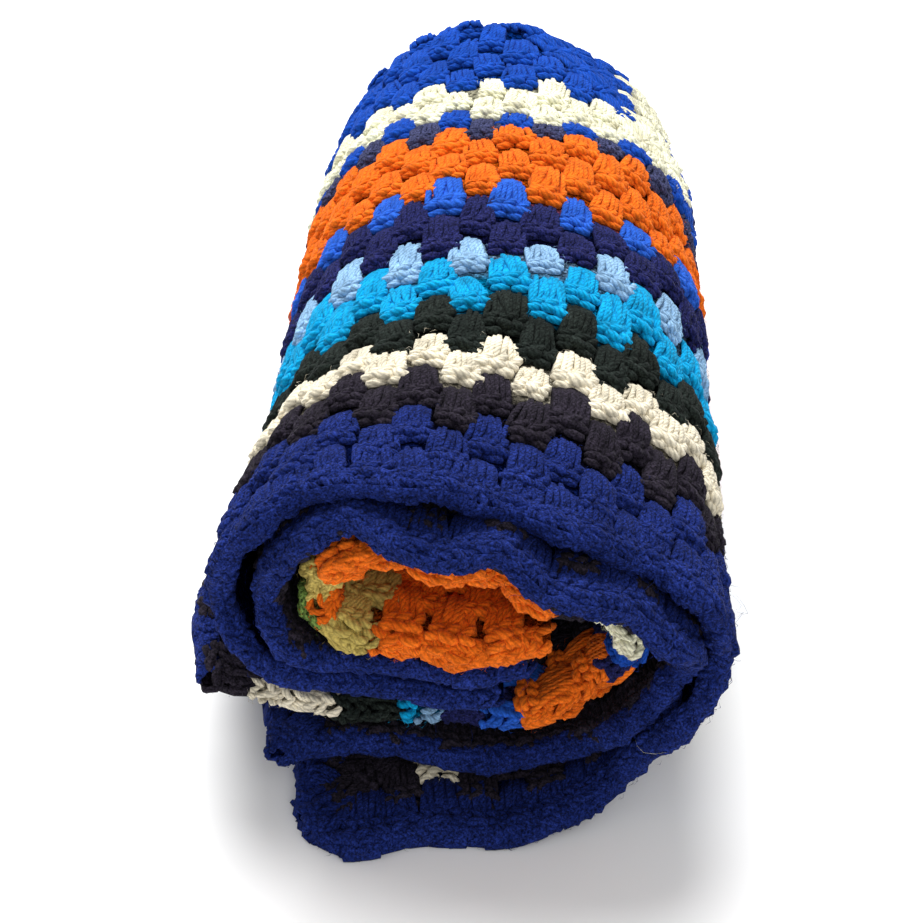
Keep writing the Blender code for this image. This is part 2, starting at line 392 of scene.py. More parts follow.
def new_material(name, **values):
    """A material, its node tree and its shader, with values for the shader's inputs."""
    material = bpy.data.materials.new(name)
    material.use_nodes = True
    shader = material.node_tree.nodes["Principled BSDF"]
    for label, value in values.items():
        shader.inputs[label.replace("_", " ")].default_value = value
    return material, material.node_tree, shader


def yarn_material(name, colour):
    kind = kind_of(colour)
    shaded_hollow, lit_tip = FUZZ_SHADE_AND_HIGHLIGHT[kind]
    material, tree, shader = new_material(
        "yarn_" + name, Roughness=0.95, Specular_IOR_Level=0.1, Sheen_Weight=SHEEN[kind],
        Sheen_Roughness=0.5, Sheen_Tint=(*lit(colour, *SHEEN_TINT), 1.0))
    position = node(tree, "ShaderNodeTexCoord").outputs["Object"]
    shade = mottled(tree, position, SHADE_SCALE, lit(colour, WORN), lit(colour, FRESH, LEAST_LIGHT))
    brighter = node(tree, "ShaderNodeVectorMath", {"Scale": lit_tip}, operation="SCALE")
    link(tree, shade, brighter.inputs[0])
    # A fine noise between painted shade in the hollows and painted highlight on the fibre tips, over the
    # yarn's own speckle.
    fuzz_and_painted_light = mottled(tree, position, FUZZ_SCALE, (shaded_hollow / lit_tip,) * 3, (1.0,) * 3, FUZZ_SPREAD)
    fuzzy = multiply(tree, brighter.outputs["Vector"], fuzz_and_painted_light)

    plies = node(tree, "ShaderNodeTexWave", {"Scale": PLIES * BAND_SCALE, "Distortion": PLY_WOBBLE},
                 wave_type="BANDS", bands_direction="DIAGONAL")
    link(tree, node(tree, "ShaderNodeUVMap", uv_map="strand").outputs["UV"], plies.inputs["Vector"])
    ridges = plies.outputs["Fac"]
    # Painted shade: the grooves between the plies are darkened in the colour.
    groove = ramp(tree, ridges, (GROOVE_PAINTED_SHADE,) * 3, (1.0,) * 3, (0.0, GROOVE_ENDS))
    link(tree, multiply(tree, fuzzy, groove), shader.inputs["Base Color"])

    fibres = noise(tree, position, FIBRE_SCALE, 5.0, 0.5)
    relief = bump(tree, fibres, FIBRE_RELIEF, bump(tree, ridges, PLY_RELIEF))
    link(tree, relief, shader.inputs["Normal"])
    return material


YARN_MATERIALS = {name: yarn_material(name, colour) for name, colour in YARNS.items()}
print("yarns:", ", ".join(YARN_MATERIALS))

# %% [markdown]
# ## Rounds
#
# A round is a row of clusters at one distance from the blanket's edge. Most rounds run
# round the roll. The square's corner lies at the loose end, and its diagonal runs from
# there under the roll and up its right side. Where a round meets the diagonal it turns,
# and from there on it runs along the roll. `ROUNDS` lists them from the edge inwards,
# by yarn and by how many rounds that yarn has.

# %% Which yarn each round has, and how high its rounds are
ROUNDS = (
    # yarn, rounds, height of one round along the roll
    ("border_blue", 3, 10.15), ("charcoal", 2, 11.0), ("beige", 2, 8.3), ("dark_green", 2, 11.3),
    ("cyan", 2, 12.8), ("light_blue", 1, 12.0), ("dark_navy", 2, 12.0), ("mid_blue", 1, 12.0),
    ("orange", 4, 11.4), ("grey_navy", 1, 11.4), ("royal_blue", 1, 11.4), ("ecru", 3, 12.0),
    ("royal_blue", 8, 13.0),        # the last three wrap round the folded end
)
ROUND_YARNS = [yarn for yarn, count, _ in ROUNDS for _ in range(count)]
ROUND_HEIGHTS = [height for _, count, height in ROUNDS for _ in range(count)]
ROUND_STARTS = np.concatenate(((0.0,), np.cumsum(ROUND_HEIGHTS)))
CLUSTER_PERIOD = 22.0       # from one cluster to the next along a round
SIDE_ROW_HEIGHT = 9.0       # the rounds along the roll are pressed closer together
print("rounds:", len(ROUND_YARNS), "reaching", round(float(ROUND_STARTS[-1])), "mm from the edge")


# %% How far round the strip a station is
DENSE = np.linspace(0.0, LAST_STATION, 1041)
WELL_BEHIND = 200.0         # a depth at which the layers are pressed together


def lengths_round(layer, depth):
    points = place_loose(layer, DENSE, depth, HALF_THICKNESS[layer])
    steps = np.linalg.norm(np.diff(points, axis=0), axis=-1)
    return np.concatenate(((0.0,), np.cumsum(steps)))


ROUND_LENGTH = {layer: lengths_round(layer, 0.0) for layer in LAYERS}
ROUND_LENGTH["outer"] = 0.5 * (ROUND_LENGTH["outer"] + lengths_round("outer", WELL_BEHIND))
END = {layer: float(lengths[-1]) for layer, lengths in ROUND_LENGTH.items()}


def station_at(layer, length):
    return np.interp(length, ROUND_LENGTH[layer], DENSE)


def length_at(layer, station):
    return np.interp(station, DENSE, ROUND_LENGTH[layer])


print("lengths round, mm:", {layer: round(end) for layer, end in END.items()})

# %% [markdown]
# ## One strand of yarn
#
# Up close a cluster is not a block but a bundle of plump yarn. Three stitches stand
# side by side, and a braid of loops closes them on the side of the blanket's edge.
# Five shapes are enough: an upright strand, a loop, a loose fibre, a flat cushion that
# fills the bundle, and a long stray hair. All of them are short bent tubes of a few
# dozen faces, since they are repeated thousands of times. Their UV map runs round and
# along the tube, and it carries the plies of the yarn material.

# %% A short bent tube with blunt closed ends
def strand_object(name, sides, rings, bend=0.0, bow=0.0, ends=1.0, radius=1.0, flat=1.0, twist=1.0):
    """A tube along y from -0.5 to 0.5, with rings of points at these shares of it. It is
    bent in x by bend and raised in z by bow. ends is the thickness towards its ends,
    flat presses its section in z, and twist is how often its plies turn along it."""
    points = []
    for t in rings:
        arch = math.sin(math.pi * t)
        r = radius * (ends + (1.0 - ends) * arch ** 0.5)
        for a in np.linspace(0.0, FULL_TURN, sides, endpoint=False) - 0.5 * math.pi:
            points.append((bend * arch + r * math.cos(a), t - 0.5, bow * arch + flat * r * math.sin(a)))
    start, end, last = len(points), len(points) + 1, len(points) - sides
    points += [(0.0, -0.5, 0.0), (0.0, 0.5, 0.0)]
    faces = []
    corners = []
    for side in range(sides):
        after = (side + 1) % sides
        u, u_after = side / sides, (side + 1) / sides
        for ring in range(len(rings) - 1):
            near, far = ring * sides, (ring + 1) * sides
            v, v_after = twist * rings[ring], twist * rings[ring + 1]
            faces.append((near + side, far + side, far + after, near + after))
            corners += [(u, v), (u, v_after), (u_after, v_after), (u_after, v)]
        faces += [(start, side, after), (end, last + after, last + side)]
        corners += [(0.5, 0.0)] * 3 + [(0.5, twist)] * 3
    mesh = bpy.data.meshes.new(name)
    mesh.from_pydata(points, [], faces)
    layer = mesh.uv_layers.new(name="strand")
    layer.data.foreach_set("uv", np.array(corners, dtype=np.float32).ravel())
    mesh.polygons.foreach_set("use_smooth", [True] * len(mesh.polygons))
    return bpy.data.objects.new(name, mesh)


# %% The five shapes
STRAND_SHAPES = bpy.data.collections.new("strand_shapes")
for shape in (
    strand_object("0_upright", 5, (0.04, 0.33, 0.67, 0.96), bow=1.9, ends=0.8, twist=2.0),
    strand_object("1_loop", 5, (0.1, 0.5, 0.9), bend=0.7, bow=0.5, ends=0.55, twist=0.6),
    strand_object("2_fibre", 3, (0.5,), bend=0.2, bow=0.25, radius=0.019),
    strand_object("3_cushion", 8, (0.05, 0.28, 0.72, 0.95), ends=0.75, flat=0.31),
    strand_object("4_hair", 3, (0.25, 0.5, 0.75), bend=0.25, bow=0.2, radius=0.003),
):
    STRAND_SHAPES.objects.link(shape)
    print(shape.name, sum(len(p.vertices) - 2 for p in shape.data.polygons), "triangles")
UPRIGHT, LOOP, FIBRE, CUSHION, HAIR = range(5)

# %% [markdown]
# ## One cluster, laid out flat
#
# The layout is a table in millimetres on the flat cloth. `A` runs along the round and
# `B` runs from the blanket's edge towards its centre. A cluster is like a shingle: its
# braid stands high over the next round, and its stitches slope down and end under the
# braid of the round behind. So each strand also has a height above the layer's middle
# and a slope. One flat cushion lies under the stitches so that no gap between them is
# empty. The same table serves every cluster, with noise on each strand and each cluster.

# %% Layout of a cluster
SHAPE, A, B, LENGTH, RADIUS, TURN, HEIGHT, SLOPE = range(8)
CLUSTER = np.array((
    # shape    a      b     length  radius  turn  height  slope
    (CUSHION,  0.0,   7.6,   18.0,   5.20,    0,   1.3,  -0.07),
    (UPRIGHT, -4.6,   8.2,   16.8,   1.10,    5,   0.6,  -0.07),
    (UPRIGHT, -3.1,   8.7,   18.0,   1.05,    3,   0.9,  -0.07),
    (UPRIGHT, -1.55,  8.9,   18.4,   1.05,    1,   1.1,  -0.07),
    (UPRIGHT,  0.0,   8.9,   18.6,   1.05,    0,   1.2,  -0.07),
    (UPRIGHT,  1.55,  8.9,   18.4,   1.05,   -1,   1.1,  -0.07),
    (UPRIGHT,  3.1,   8.7,   18.0,   1.05,   -3,   0.9,  -0.07),
    (UPRIGHT,  4.6,   8.2,   16.8,   1.10,   -5,   0.6,  -0.07),
    (LOOP,    -4.3,   1.0,    5.2,   1.30,  -38,   2.4,   0.00),
    (LOOP,    -0.5,   0.6,    5.8,   1.35,  -50,   2.9,   0.00),
    (LOOP,     3.4,   0.6,    5.4,   1.30,  -60,   2.6,   0.00),
    (LOOP,    -4.1,  -1.7,    5.8,   1.50, -118,   2.2,   0.00),
    (LOOP,     0.1,  -2.4,    6.4,   1.60, -104,   2.7,   0.00),
    (LOOP,     4.1,  -1.9,    5.8,   1.50,  -68,   2.2,   0.00),
    (LOOP,    -2.6,  -4.1,    6.6,   1.40,  -98,   1.3,   0.00),
    (LOOP,     2.6,  -4.1,    6.6,   1.40,  -80,   1.3,   0.00),
))
print("strands in a cluster:", len(CLUSTER))

# %% The same cluster for a tight bend
LOOP_TURN_ON_BEND = 0.35    # its loops lie straighter and lower
LOOP_HEIGHT_ON_BEND = 0.7
UPRIGHT_PARTS = 3           # and its uprights are made of short ones that can follow the bend
PART_OVERLAP = 1.5
PART_RISE = 1.2


def bent(table):
    rows = []
    for row in table:
        if row[SHAPE] == LOOP:
            loop = row.copy()
            loop[TURN] = -90.0 + LOOP_TURN_ON_BEND * (row[TURN] + 90.0)
            loop[HEIGHT] *= LOOP_HEIGHT_ON_BEND
            rows.append(loop)
        for part in range(UPRIGHT_PARTS if row[SHAPE] == UPRIGHT else 0):
            shift = row[LENGTH] * ((part + 0.5) / UPRIGHT_PARTS - 0.5)
            piece = row.copy()
            piece[A] -= shift * math.sin(math.radians(row[TURN]))
            piece[B] += shift
            piece[LENGTH] *= PART_OVERLAP / UPRIGHT_PARTS
            piece[HEIGHT] += PART_RISE + shift * row[SLOPE]
            rows.append(piece)
    return np.array(rows)


BENT_CLUSTER = bent(CLUSTER)
print("strands in a bent cluster:", len(BENT_CLUSTER))

# %% Where the strands are kept
# The dark blue border is in three pieces: on the outside, on the inner faces, and its edge.
YARN_OF_PIECE = {name: name for name in YARNS}
YARN_OF_PIECE.update(border_blue_inside="border_blue", border_blue_edge="border_blue")
strands_of = {piece: {"point": [], "turn": [], "size": [], "shape": []} for piece in YARN_OF_PIECE}


def count_strands():
    return sum(len(points) for strands in strands_of.values() for points in strands["point"])


# %% Lay strands on a face of the cloth
def unit(vectors):
    return vectors / np.linalg.norm(vectors, axis=-1, keepdims=True)


def turn_between(right, ahead, up):
    """The XYZ Euler turn that takes the axes x, y and z to these three directions."""
    roll = np.arctan2(ahead[:, 2], up[:, 2])
    pitch = np.arcsin(np.clip(-right[:, 2], -1.0, 1.0))
    yaw = np.arctan2(right[:, 1], right[:, 0])
    return np.stack((roll, pitch, yaw), axis=-1)


def lay_strands(piece, face, around, depth, height, lean, length, radius, shape, slope=0.0):
    """lean is the turn on the cloth in radians, from the roll's length towards the way
    round. slope is the rise for each millimetre. All else is in millimetres."""
    values = np.broadcast_arrays(around, depth, height, lean, length, radius, shape, slope)
    around, depth, height, lean, length, radius, shape, slope = (value.ravel() for value in values)
    point = face(around, depth, height)
    ahead = face(around + np.sin(lean), depth + np.cos(lean), height + slope) - point
    across = face(around + np.cos(lean), depth - np.sin(lean), height) - point
    lifted = face(around, depth, height + 0.5) - point
    ahead = unit(ahead)
    up = unit(np.cross(ahead, across))
    up *= np.sign(np.sum(up * lifted, axis=-1, keepdims=True))
    turn = turn_between(np.cross(ahead, up), ahead, up)
    size = np.stack((radius, length, radius), axis=-1) * MM
    for label, values in (("point", point), ("turn", turn), ("size", size), ("shape", shape)):
        strands_of[piece][label].append(values)


# %% Loose fibres
FIBRES = 14                 # on a cluster
HIDDEN_FIBRES = 5           # on a cluster deep inside
FIBRE_LENGTH = (1.6, 4.2)
FIBRE_SPREAD = (6.5, 9.0)   # how far they lie off the cluster's middle
FIBRE_SHIFT = 2.0
FIBRE_HEIGHT = 3.4
FIBRE_SLOPE = 0.25
random_numbers = np.random.default_rng(36)


def jitter(size, shape):
    return random_numbers.normal(0.0, size, shape)


def between(low, high, count):
    return random_numbers.uniform(low, high, count)


def lay_fibres(piece, face, centres, scale, height, fibres):
    """A few loose fibres stand out from each cluster, each turned and bent its own way."""
    count = fibres * len(centres)
    spread = between(-1.0, 1.0, (count, 2)) * np.array(FIBRE_SPREAD) * scale
    around, depth = (np.repeat(centres, fibres, axis=0) + spread).T
    length = between(*FIBRE_LENGTH, count)
    lay_strands(
        piece, face, around, depth + FIBRE_SHIFT * scale, height,
        lean=between(0.0, FULL_TURN, count), length=length, radius=length,
        shape=FIBRE, slope=jitter(FIBRE_SLOPE, count),
    )


# %% Many clusters
NOISE_PLACE = 0.30          # on each strand
NOISE_TURN = 5.0
NOISE_SIZE = 0.06
NOISE_SLOPE = 0.02
CLUSTER_SHIFT = 0.5         # on each whole cluster
CLUSTER_TURN = 3.0
CLUSTER_SIZE = 0.05


def lay_clusters(piece, face, centres, heading=0.0, scale=1.0, squeeze=1.0, low=1.0,
                 table=CLUSTER, fibres=FIBRES):
    """heading turns the clusters on the cloth, in degrees: at 0 the stitches point along
    the roll, at 90 round it. squeeze shortens the stitches, low presses them flat."""
    centres = np.asarray(centres, dtype=float).reshape(-1, 2)
    if len(centres) == 0:
        return
    rows = np.repeat(table[None], len(centres), axis=0)
    all_strands = rows.shape[:2]
    rows[:, :, (A, B)] += jitter(NOISE_PLACE, (*all_strands, 2))
    rows[:, :, TURN] += jitter(NOISE_TURN, all_strands)
    rows[:, :, (LENGTH, RADIUS)] *= 1.0 + jitter(NOISE_SIZE, (*all_strands, 2))
    rows[:, :, SLOPE] += jitter(NOISE_SLOPE, all_strands)
    one_each = (len(centres), 1)
    centres = centres + jitter(CLUSTER_SHIFT, centres.shape)
    turn = np.radians(heading + jitter(CLUSTER_TURN, one_each))
    size = scale * (1.0 + jitter(CLUSTER_SIZE, one_each))
    shape, a, b, length, radius, lean, height, slope = np.moveaxis(rows, -1, 0)
    a = size * a
    b = size * squeeze * b
    lay_strands(
        piece, face, centres[:, :1] + a * np.cos(turn) + b * np.sin(turn),
        centres[:, 1:] - a * np.sin(turn) + b * np.cos(turn), size * low * height,
        lean=turn + np.radians(lean), length=size * length * np.where(shape == LOOP, 1.0, squeeze),
        radius=size * radius, shape=shape, slope=low * slope,
    )
    lay_fibres(piece, face, centres, scale, FIBRE_HEIGHT * scale * low, fibres)


def spots(first, last, period, shift=0.0):
    """Evenly spaced places from first to last, at whole periods plus a shift."""
    number = np.arange(math.ceil((first - shift) / period), math.floor((last - shift) / period) + 1)
    return number * period + shift


# %% [markdown]
# ## Faces of the cloth
#
# Each layer has an outer and an inner face, and the innermost layer is double: it is
# folded at the open end, so its stitches run from one face over a round rim to the
# other. At the far end the whole strip is folded over, and its stitches run on along
# the inside. A face is a small function from cloth coordinates to points. Laying
# stitches through such a function is simpler than projecting them onto a mesh.

# %% Flat faces and rounded edges
RIM_RADIUS = 1.7            # of the double layer's fold, under its stitches
EDGE_RADIUS = 1.6           # of a single layer's edge, under its stitches
SIDE_STEP = 0.2             # stations, to find which way the side edge faces


def plain_face(layer, side):
    """The outer face (side 1) or the inner face (side -1) of a layer."""
    def face(around, depth, height):
        return place(layer, station_at(layer, around), depth, side * height)
    return face


def over_an_edge(run, height, radius):
    """How far behind an edge and how far off the layer's middle a run over it comes."""
    quarter = 0.5 * math.pi * radius
    angle = np.clip(run, -quarter, quarter) / radius
    past = np.abs(run) - np.abs(radius * angle)
    return radius - (radius + height) * np.cos(angle) + past, (radius + height) * np.sin(angle)


def rim_face(layer, radius):
    """Runs from the inner face, where run is negative, over the rim to the outer face."""
    def face(around, run, height):
        depth, across = over_an_edge(run, height, radius)
        return place(layer, station_at(layer, around), depth, across)
    return face


def side_face(layer):
    """Runs round the edge at the strip's loose end, which lies along the roll."""
    radius = RIM_RADIUS if layer == "inner" else EDGE_RADIUS

    def face(depth, run, height):
        around, across = over_an_edge(run, height, radius)
        outward = unit(place(layer, 0.0, depth, across) - place(layer, SIDE_STEP, depth, across))
        beyond = np.maximum(-around, 0.0)[..., None] * MM * outward
        return place(layer, station_at(layer, around), depth, across) + beyond
    return face


# %% The outside, on round the folded end
def thickness_at(station):
    """Of the whole strip, where its layers are pressed together."""
    return np.linalg.norm(along(PRESSED[:, 1], station) - along(PRESSED[:, 0], station), axis=-1)


def fold_ends_at(station):
    """The depth, measured over the folded end, at which the inner face is reached."""
    half = 0.5 * thickness_at(station)
    return FOLD_BEGINS + math.pi * np.sqrt(0.5 * (LIP_RADIUS ** 2 + half ** 2))


def round_the_fold(around, depth, height):
    """The outside of the roll, on round its folded end and back along the inner face."""
    station = station_at("outer", around)
    thickness = thickness_at(station)
    fold_ends = fold_ends_at(station)
    angle = math.pi * np.clip((depth - FOLD_BEGINS) / (fold_ends - FOLD_BEGINS), 0.0, 1.0)
    over = height - HALF_THICKNESS["outer"]
    lip_depth = FOLD_BEGINS + (LIP_RADIUS + over) * np.sin(angle) - np.maximum(depth - fold_ends, 0.0)
    inward = 0.5 * thickness - (0.5 * thickness + over) * np.cos(angle)
    drawn_in = lip_inset(lip_depth) * np.minimum(1.0, LIP_MOST * thickness / LIP_RADIUS)
    sunk = HALF_THICKNESS["outer"] + drawn_in - inward
    on_side = depth <= FOLD_BEGINS
    return place("outer", station, np.where(on_side, depth, lip_depth), np.where(on_side, height, sunk))


# %% The faces of this roll
OUTSIDE = round_the_fold
UNDERSIDE = plain_face("outer", -1.0)
MIDDLE_OUTSIDE = plain_face("middle", 1.0)
MIDDLE_INSIDE = plain_face("middle", -1.0)
DOUBLE_RIM = rim_face("inner", RIM_RADIUS)
OUTER_EDGE = rim_face("outer", EDGE_RADIUS)
MIDDLE_EDGE = rim_face("middle", EDGE_RADIUS)
SIDE_EDGES = [side_face(layer) for layer in LAYERS]
print("faces ready")

# %% [markdown]
# ## The outside of the roll
#
# These are the rounds that the picture shows best. Every other round is shifted by half
# a period, so a cluster's foot stands in the gap between two clusters of the round
# behind it. A round is laid along the open end first, then its corner cluster, then
# along the roll.

# %% Where the clusters of a round lie
STAGGER = 0.5 * CLUSTER_PERIOD
BRAID_REACH = 5.0           # a cluster's braid stands this far before its middle
NEXT_TO_CORNER = 9.0        # a row starts this far from the corner cluster's middle
EDGE_MARGIN = 4.0           # and stops this far from the end of the strip
CORNER_HEADING = 42.0
CORNER_SCALE = 1.08
SIDE_SQUEEZE = SIDE_ROW_HEIGHT / ROW_HEIGHT


def corner_of(number):
    """Where a round turns: how far round, and how deep."""
    return SIDE_ROW_HEIGHT * number + BRAID_REACH, ROUND_STARTS[number] + BRAID_REACH


def row_spots(number, first, last):
    """The edging, round 0, has no gaps between its clusters."""
    return spots(first, last, CLUSTER_PERIOD if number > 0 else STAGGER, STAGGER * (number % 2))


def near_row(number, last):
    """Clusters of a round where it runs round the roll."""
    around = row_spots(number, corner_of(number)[0] + NEXT_TO_CORNER, last)
    return np.stack((around, np.full_like(around, corner_of(number)[1])), axis=-1)


def side_row(number, last):
    """Clusters of a round where it runs along the roll."""
    depth = row_spots(number, corner_of(number)[1] + NEXT_TO_CORNER, last)
    return np.stack((np.full_like(depth, corner_of(number)[0]), depth), axis=-1)


# %% Rounds on the outside
COVERED_FROM = 23.4         # station past which the roll itself covers the outside
BORDER_ROUNDS = 3           # these show even there, at the open end
FOLD_STARTS = ROLL_LENGTH - 20.0
FOLD_STOPS = 25.7           # station
OVER_FOLD = ROLL_LENGTH + 18.0
ROOM_FOR_STITCHES = 7.0


def on_the_fold(places):
    """Leaves out the places past the end of the fold."""
    fold_ends = fold_ends_at(station_at("outer", places[:, 0]))
    return places[places[:, 1] + ROOM_FOR_STITCHES < fold_ends]


for number, yarn in enumerate(ROUND_YARNS):
    at_fold = corner_of(number)[1] > FOLD_STARTS
    table = BENT_CLUSTER if at_fold else CLUSTER
    last = length_at("outer", FOLD_STOPS if at_fold else COVERED_FROM)
    last = END["outer"] - EDGE_MARGIN if number < BORDER_ROUNDS else last
    lay_clusters(yarn, OUTSIDE, on_the_fold(near_row(number, last)),
                 squeeze=ROUND_HEIGHTS[number] / ROW_HEIGHT, table=table)
    lay_clusters(yarn, OUTSIDE, on_the_fold(np.array((corner_of(number),))),
                 heading=CORNER_HEADING, scale=CORNER_SCALE, table=table)
    lay_clusters(yarn, OUTSIDE, side_row(number, OVER_FOLD), heading=90.0, squeeze=SIDE_SQUEEZE)
print("strands so far:", count_strands())

# %% Rounds on the faces that show at the open end
OPEN_DEPTH = 70.0           # behind this the layers are pressed together
BLUE_INSIDE = "border_blue_inside"
INSIDE_YARNS = (BLUE_INSIDE, "charcoal", "charcoal", "beige")
LOOKS_OUT = (2, 33.0)       # one beige cluster in this row, this far round
INNER_FACES = (
    # face, how far round it is covered, and the yarn of its first row
    (UNDERSIDE, length_at("outer", 7.0), BLUE_INSIDE),
    (MIDDLE_OUTSIDE, END["middle"] - EDGE_MARGIN, BLUE_INSIDE),
    (MIDDLE_INSIDE, END["middle"] - EDGE_MARGIN, "charcoal"),
)
for face, last, first_yarn in INNER_FACES:
    for number, yarn in enumerate(INSIDE_YARNS):
        near = near_row(number, last)
        beige = (number == LOOKS_OUT[0]) & (np.abs(near[:, 0] - LOOKS_OUT[1]) <= STAGGER)
        lay_clusters(yarn if number > 0 else first_yarn, face, near[~beige], fibres=HIDDEN_FIBRES)
        lay_clusters("beige", face, near[beige], fibres=HIDDEN_FIBRES)
        lay_clusters(yarn, face, (corner_of(number),), heading=CORNER_HEADING, fibres=HIDDEN_FIBRES)
        lay_clusters(yarn, face, side_row(number, OPEN_DEPTH), heading=90.0,
                     squeeze=SIDE_SQUEEZE, fibres=HIDDEN_FIBRES)
print("strands so far:", count_strands())

# %% [markdown]
# ## The double layer inside
#
# Its fold shows at the open end. On the bottom run the rounds cross the fold, so it is
# striped in small steps. Further round, over the top and in the core, the rounds run
# along the fold and only orange shows, with a small patch of the yellow and green
# centre. Each stripe is laid as rows of clusters that stand across the rim.

# %% Stripes across the fold
FOLD_STRIPES = (
    # how far round its braid starts, and yarn
    (0, "charcoal"), (6, "charcoal"), (15, "beige"), (27, "beige"), (41, "dark_green"),
    (51, "dark_green"), (59, "cyan"), (65, "light_blue"), (72, "dark_navy"), (84, "mid_blue"),
    (98, "orange"), (109, "orange"), (120, "orange"), (131, "dark_navy"), (139, "royal_blue"),
    (147, "ecru"), (156, "ecru"), (165, "ecru"), (175, "charcoal"),
)
FLAP_STRIPES = 4            # the first stripes show along the whole flap
FLAP_REACH = ROLL_LENGTH - 14.0
INNER_FACE_SEEN = 50.0
OUTER_FACE_SEEN = 30.0
FROM_RIM = 8.0              # the first clusters stand this far from the rim
TURNS_UP_FROM = 90.0        # past this the layer turns up, and its inner face is charcoal
DARK_BEHIND = 22.0          # behind this depth
STRIPE_LOOK = {"heading": 90.0, "scale": 0.95, "low": 0.9}
for number, (around, yarn) in enumerate(FOLD_STRIPES):
    reach = FLAP_REACH if number < FLAP_STRIPES else INNER_FACE_SEEN
    start = FROM_RIM + STAGGER * (number % 2)
    run = np.concatenate((-np.arange(start, reach, CLUSTER_PERIOD),
                          np.arange(start, OUTER_FACE_SEEN, CLUSTER_PERIOD)))
    places = np.stack((np.full_like(run, around + BRAID_REACH), run), axis=-1)
    deep = (run < -DARK_BEHIND) & (around > TURNS_UP_FROM)
    lay_clusters(yarn, DOUBLE_RIM, places[~deep], **STRIPE_LOOK)
    lay_clusters("charcoal", DOUBLE_RIM, places[deep], **STRIPE_LOOK)

# %% Orange rounds along the fold, and the yellow centre
ORANGE_FROM = 186.0
CORE_ROW = 12.0
CORE_PERIOD = 15.0
CORE_FROM_RIM = 6.0
CORE_SIDES = ((-1.0, 180.0, 4), (1.0, 0.0, 2))      # side of the rim, heading, rows
PATCH_STATIONS = (18.3, 21.8)
yellow_from, yellow_to = length_at("inner", np.array(PATCH_STATIONS))
PATCH_YARNS = ("centre_yellow", "orange", "centre_yellow", "centre_yellow", "centre_green")
patch_count = 0
for number in range(CORE_SIDES[0][2]):
    core_spots = spots(ORANGE_FROM + 4.0, END["inner"] - 3.0, CORE_PERIOD, 0.5 * CORE_PERIOD * (number % 2))
    for side, heading, rows in CORE_SIDES:
        for around in core_spots if number < rows else ():
            yarn = "orange"
            if yellow_from < around < yellow_to:
                yarn = PATCH_YARNS[patch_count % len(PATCH_YARNS)]
                patch_count += 1
            run = side * (CORE_FROM_RIM + CORE_ROW * number)
            lay_clusters(yarn, DOUBLE_RIM, (around, run), heading=heading)
print("strands so far:", count_strands())

# %% [markdown]
# ## The edge
#
# The blanket's last round ends in a braid of loops. At the open end these braids are
# the dark blue outline of the spiral. Each loop is a leaf-shaped strand laid slantwise
# over the edge, and its neighbour on the other side slants the other way. Flat cushions
# lie under the loops, since one would otherwise look between them into the layer.

# %% Braid along an edge
BRAID_RUNS = (-4.0, -2.2, -0.5, 1.3, 3.0, 4.6)      # rows of loops over the edge
BRAID_PITCH = 3.1
BRAID_LENGTH = (4.4, 6.6)
BRAID_RADIUS = (0.95, 1.4)
BRAID_SLANT = 30.0
LOOP_SHIFT = (0.5, 0.3)     # noise on each loop, along the edge and across it
LOOP_LIFT = 0.25
LOOP_TURN = 14.0
SCALLOP = 0.6               # the edge bulges this far at each cluster
CORD_RUNS = (-3.2, 0.0, 3.2)        # rows of cushions under the loops
CORD_PITCH = 8.0
CORD_LENGTH = 12.0
CORD_RADIUS = 2.9
CORD_INSET = 0.4            # share of its length that a cushion's middle keeps from the ends
LOOP_SINK = 0.1
FIBRE_ON_LOOP = 1.2


def scallop(around):
    return SCALLOP * (1.0 + np.cos(FULL_TURN * around / CLUSTER_PERIOD))


def braid(piece, face, first, last, runs=BRAID_RUNS, pitch=BRAID_PITCH):
    """Cushions, then loops over them, and one loose fibre for each loop."""
    length = min(CORD_LENGTH, last - first)
    for run in CORD_RUNS:
        around = spots(first + CORD_INSET * length, last - CORD_INSET * length, CORD_PITCH,
                       CORD_PITCH * random_numbers.random())
        lay_strands(piece, face, around, run, scallop(around), 0.5 * math.pi, length, CORD_RADIUS, CUSHION)
    for number, run in enumerate(runs):
        around = spots(first, last, pitch, 0.5 * pitch * (number % 2))
        count = len(around)
        around = around + jitter(LOOP_SHIFT[0], count)
        height = scallop(around) - LOOP_SINK + jitter(LOOP_LIFT, count)
        slant = BRAID_SLANT * (-1.0) ** number + jitter(LOOP_TURN, count)
        lay_strands(
            piece, face, around, run + jitter(LOOP_SHIFT[1], count), height, lean=np.radians(90.0 + slant),
            length=between(*BRAID_LENGTH, count), radius=between(*BRAID_RADIUS, count), shape=LOOP,
        )
        fibre = between(*FIBRE_LENGTH, count)
        lay_strands(
            piece, face, around + between(-2.0, 2.0, count), run, height + FIBRE_ON_LOOP,
            lean=between(0.0, FULL_TURN, count), length=fibre, radius=fibre, shape=FIBRE,
            slope=jitter(0.3, count),
        )


# %% Braids of this roll
SIDE_PITCH = 3.5            # the edge along the roll is seen from further off
SIDE_RUNS = (-3.4, -1.1, 1.1, 3.4)


def in_patch(share):
    return (1.0 - share) * yellow_from + share * yellow_to


